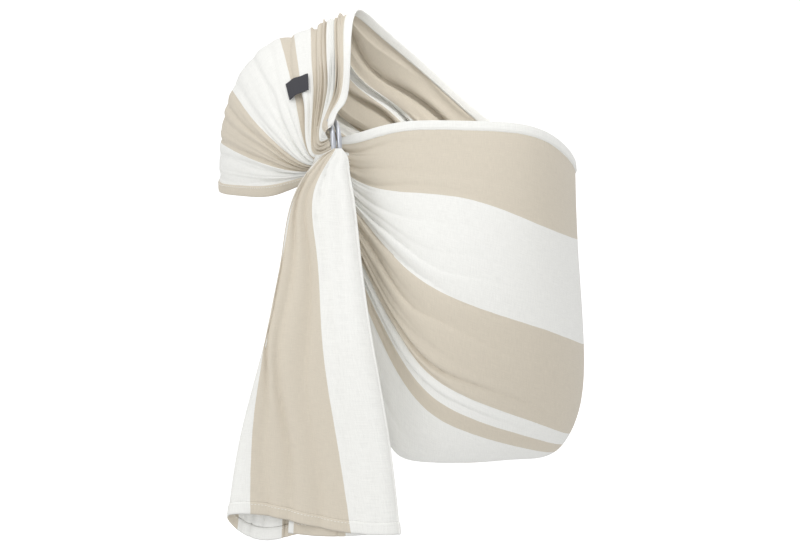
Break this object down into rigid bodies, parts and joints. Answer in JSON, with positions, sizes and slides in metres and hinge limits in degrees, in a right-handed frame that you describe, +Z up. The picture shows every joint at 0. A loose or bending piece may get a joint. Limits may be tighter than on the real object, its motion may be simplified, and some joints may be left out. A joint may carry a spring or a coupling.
{
  "type": "ring sling baby carrier",
  "caption": "Striped cotton ring sling: cloth pleated over one shoulder, across the back and into a front pouch, drawn through paired aluminium rings to a hanging tail.",
  "frame": {"origin": "the point on the crest of the wearer's right shoulder, just under the pleated cloth, that the sling hangs from", "axes": "+Z up along the wearer's body, +X to the wearer's left, +Y to the wearer's back; the pouch and tail are on the -Y side"},
  "size_m": [0.4765, 0.3917, 0.6417],
  "materials": {
    "striped_cotton": "plain-woven cotton in wide beige and off-white stripes, matt",
    "white_rail_cotton": "off-white plain-woven cotton hem, matt",
    "beige_rail_cotton": "beige plain-woven cotton hem, matt",
    "ring_aluminium": "satin anodised round bar",
    "label_tape": "blank charcoal woven label"
  },
  "bodies": {
    "sling": {"shoulder_panel": "striped_cotton", "back_panel": "striped_cotton", "hip_panel": "striped_cotton", "pouch_panel": "striped_cotton", "ring_sleeve": "striped_cotton", "top_rail_shoulder": "white_rail_cotton", "top_rail_back": "white_rail_cotton", "top_rail_hip": "white_rail_cotton", "top_rail_pouch": "white_rail_cotton", "bottom_rail_shoulder": "beige_rail_cotton", "bottom_rail_back": "beige_rail_cotton", "bottom_rail_hip": "beige_rail_cotton", "bottom_rail_pouch": "beige_rail_cotton", "blank_label": "label_tape"},
    "inner_ring": {"ring_inner": "ring_aluminium"},
    "outer_ring": {"ring_outer": "ring_aluminium"},
    "tail": {"tail_panel": "striped_cotton", "tail_end_hem": "striped_cotton"}
  },
  "joints": [
    {"name": "inner_ring_turn", "type": "hinge", "parent": "sling", "child": "inner_ring", "pos_m": [0.01488, -0.15097, -0.153], "axis": [0.9659, 0.259, 0], "continuous": true},
    {"name": "outer_ring_turn", "type": "hinge", "parent": "sling", "child": "outer_ring", "pos_m": [0.02212, -0.14903, -0.153], "axis": [0.9659, 0.259, 0], "continuous": true},
    {"name": "tail_swing", "type": "hinge", "parent": "sling", "child": "tail", "pos_m": [0.028, -0.191, -0.158], "axis": [-1, 0, 0], "range_deg": [0, 80]}
  ]
}
